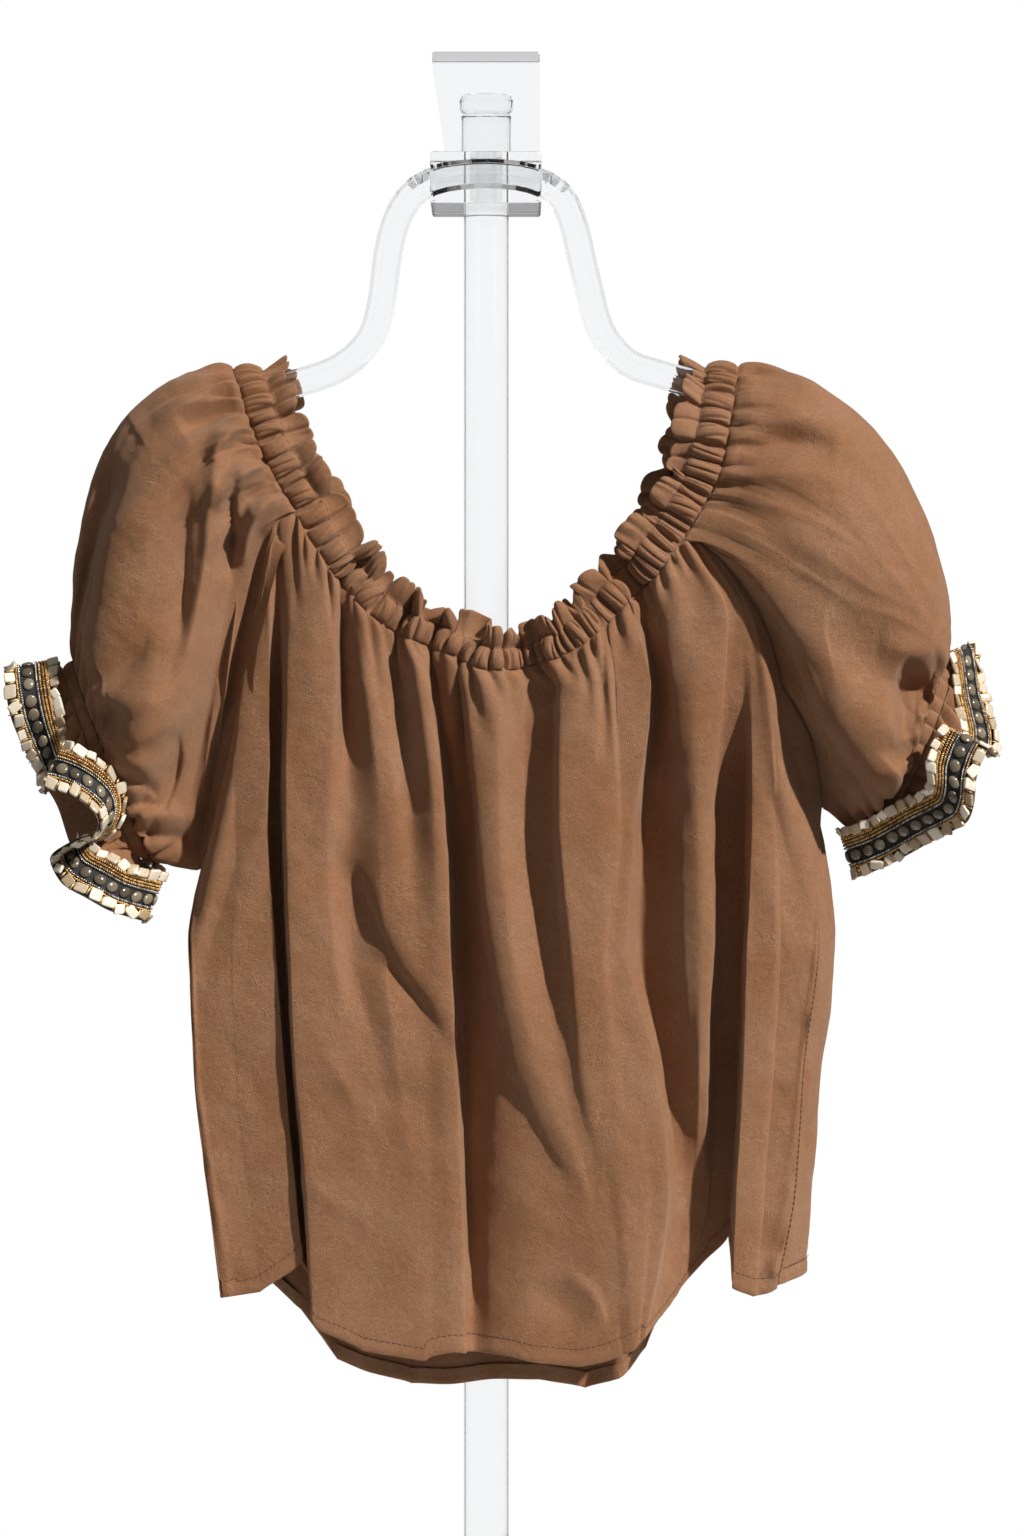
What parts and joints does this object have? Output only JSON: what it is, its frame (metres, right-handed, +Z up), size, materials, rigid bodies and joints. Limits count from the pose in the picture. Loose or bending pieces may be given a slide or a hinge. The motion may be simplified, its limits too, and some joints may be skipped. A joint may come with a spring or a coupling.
{
  "type": "peasant blouse with raglan puff sleeves on a clear countertop stand",
  "caption": "Brown gathered peasant blouse, a medieval shirt with raglan puff sleeves and jewelled cuff bands, hung open on a clear acrylic stand with a round base.",
  "frame": {"origin": "centre of the base plate's underside, on the axis of the post", "axes": "+X across the garment to the viewer's right, -Y out of the garment's front, +Z up"},
  "size_m": [0.5536, 0.3, 0.886],
  "materials": {
    "suede_cloth": "matt, peach-skin",
    "jewelled_trim": "beads and stones on gold thread",
    "clear_acrylic": "polished, clear"
  },
  "bodies": {
    "root": {"front_panel": "suede_cloth", "back_panel": "suede_cloth", "sleeve_left": "suede_cloth", "sleeve_right": "suede_cloth", "neck_channel": "suede_cloth", "neck_frill": "suede_cloth", "cuff_elastic_left": "suede_cloth", "cuff_elastic_right": "suede_cloth", "cuff_frill_left": "suede_cloth", "cuff_frill_right": "suede_cloth", "trim_left": "jewelled_trim", "trim_right": "jewelled_trim", "base_plate": "clear_acrylic", "post": "clear_acrylic", "post_head": "clear_acrylic", "post_cap": "clear_acrylic", "clamp_block": "clear_acrylic", "hanger_tube": "clear_acrylic", "sign_plate": "clear_acrylic", "sign_plate_lip": "clear_acrylic"}
  },
  "joints": []
}
